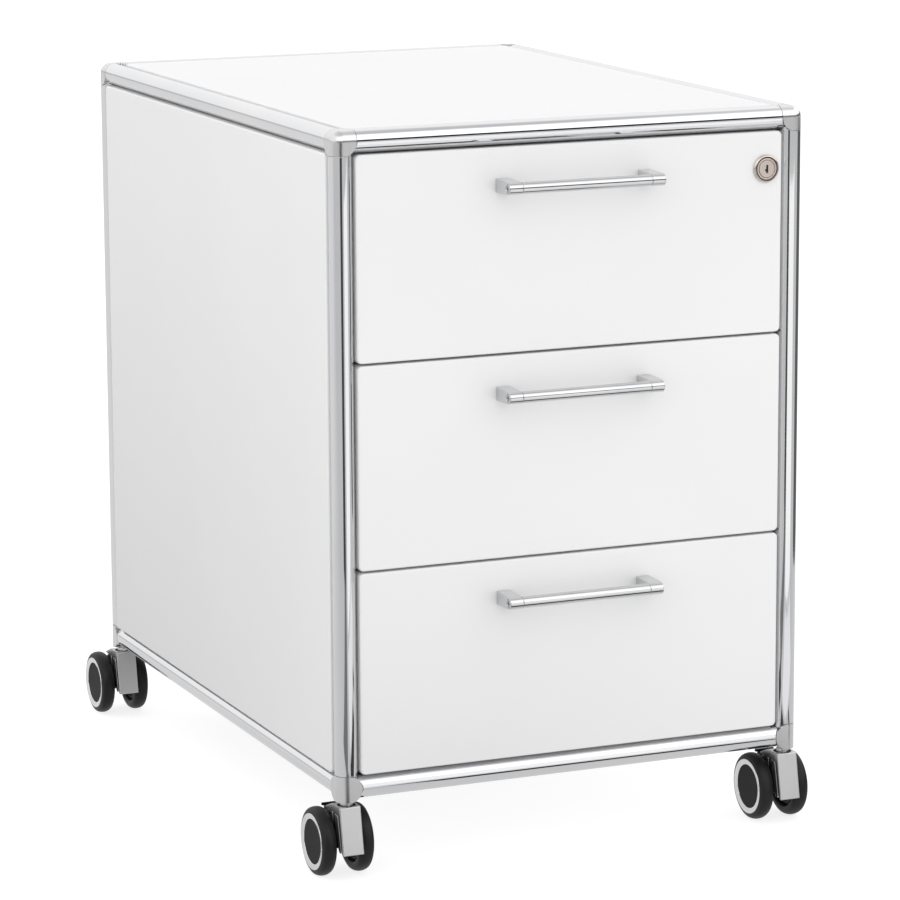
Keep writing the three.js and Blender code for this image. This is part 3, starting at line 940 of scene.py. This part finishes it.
def floor_shader(nodes):
    """Pale to the camera, a grey that fades with depth in chrome, and dim light for matt faces."""
    where = nodes.add("ShaderNodeTexCoord").outputs["Object"]
    haze = nodes.spread(nodes.noise(where, 1.5), 0.3, 0.7, 0.0, 1.0)
    tone = nodes.tint(haze, (0.93, 0.93, 0.93, 1), (0.95, 0.95, 0.95, 1))
    pale = nodes.either(0.6, nodes.add("ShaderNodeBsdfDiffuse", Color=tone), nodes.glow(1.32))
    depth = nodes.add("ShaderNodeSeparateXYZ", Vector=where).outputs["Y"]
    reflected = nodes.glow(nodes.spread(depth, -1.0, 0.6, 0.62, 0.8))
    offset = nodes.add("ShaderNodeVectorMath", {"operation": "SUBTRACT"})
    nodes.feed(offset.inputs[0], where)
    nodes.feed(offset.inputs[1], (-0.75, 0.45, 0))
    distance = nodes.add("ShaderNodeVectorMath", {"operation": "LENGTH"})
    nodes.feed(distance.inputs[0], offset.outputs[0])
    bounced = nodes.glow(nodes.spread(distance.outputs["Value"], 0.45, 1.6, 0.0, 0.98))
    ray = nodes.add("ShaderNodeLightPath")
    direct = nodes.either(ray.outputs["Is Camera Ray"], bounced, pale)
    return nodes.either(ray.outputs["Is Glossy Ray"], direct, reflected)


def build_floor():
    half = 30.0
    floor = quad("studio_floor", [(-half, -half, 0), (half, -half, 0), (half, half, 0), (-half, half, 0)])
    material = bpy.data.materials.new("pale_floor")
    material.use_nodes = True
    nodes = Nodes(material.node_tree)
    nodes.add("ShaderNodeOutputMaterial", Surface=floor_shader(nodes).outputs[0])
    floor.data.materials.append(material)


def ramp(nodes, factor, stops):
    made = nodes.add("ShaderNodeValToRGB", Fac=factor)
    elements = made.color_ramp.elements
    while len(elements) < len(stops):
        elements.new(0.5)
    for element, (spot, value) in zip(elements, stops):
        element.position = spot
        element.color = (value, value, value, 1)
    return made.outputs["Color"]


def reflected_sky(nodes, x, y, z):
    """What chrome sees above the floor: a dark band low in front and softer steps behind."""
    height = nodes.spread(z, -1.0, 1.0, 0.0, 1.0)
    # Heights on the ramps are (sine of elevation + 1) / 2.
    strong = ramp(
        nodes, height,
        [
            (0.0, 0.35), (0.47, 0.04), (0.5, 0.03), (0.61, 0.03),
            (0.625, 1.7), (0.9, 1.5), (0.95, 0.62), (1.0, 0.6),
        ],
    )
    gentle = ramp(
        nodes, height,
        [
            (0.0, 0.95), (0.46, 0.9), (0.475, 0.6), (0.53, 0.6),
            (0.545, 1.0), (0.85, 1.1), (0.95, 0.8), (1.0, 0.75),
        ],
    )
    facing = nodes.math("ADD", nodes.math("MULTIPLY", x, 0.57), nodes.math("MULTIPLY", y, -0.82))
    share = nodes.spread(facing, -0.25, 0.35, 0.0, 1.0)
    return nodes.tint(share, gentle, strong)


def build_light():
    """An even soft studio for matt surfaces, a little brighter low on the left, and one for chrome."""
    world = bpy.data.worlds.new("studio")
    bpy.context.scene.world = world
    world.use_nodes = True
    nodes = Nodes(world.node_tree)
    direction = nodes.add("ShaderNodeTexCoord").outputs["Generated"]
    x, y, z = nodes.add("ShaderNodeSeparateXYZ", Vector=direction).outputs
    to_front_right = nodes.math("ADD", nodes.math("MULTIPLY", x, 0.8), nodes.math("MULTIPLY", y, -0.6))
    front = nodes.spread(to_front_right, -1.0, 1.0, 0.965, 1.085)
    leftward = nodes.math("MAXIMUM", nodes.math("MULTIPLY", x, -0.9), 0.0)
    low_left = nodes.math("MULTIPLY", leftward, nodes.math("SUBTRACT", 1.0, z))
    even = nodes.math("ADD", front, low_left)
    matt = nodes.add("ShaderNodeBackground", Color=(1, 1, 1, 1), Strength=even)
    shine = nodes.add("ShaderNodeBackground", Color=reflected_sky(nodes, x, y, z), Strength=1.0)
    ray = nodes.add("ShaderNodeLightPath")
    both = nodes.either(ray.outputs["Is Glossy Ray"], matt, shine)
    nodes.add("ShaderNodeOutputWorld", Surface=both.outputs[0])
    bpy.context.scene.view_settings.view_transform = "Standard"


def build_camera():
    place = Vector((-1.3992, -3.3183, 1.0155))
    yaw, pitch, roll = 23.114, 11.366, -0.285
    data = bpy.data.cameras.new("camera")
    data.sensor_width = 36.0
    data.lens = 163.66
    data.clip_end = 100.0
    camera = bpy.data.objects.new("camera", data)
    bpy.context.scene.collection.objects.link(camera)
    camera.matrix_world = at(*place) @ turn(-yaw, "Z") @ turn(90 - pitch, "X") @ turn(roll, "Z")
    bpy.context.scene.camera = camera


build_camera()
build_frame()
build_panels()
for level in ("bottom", "middle", "top"):
    build_front(level)
    build_box(level)
    build_handle(level)
    build_runner(level)
build_lock()
for end in ENDS:
    for side in SIDES:
        build_castor(end, side)
build_floor()
build_cards()
build_light()
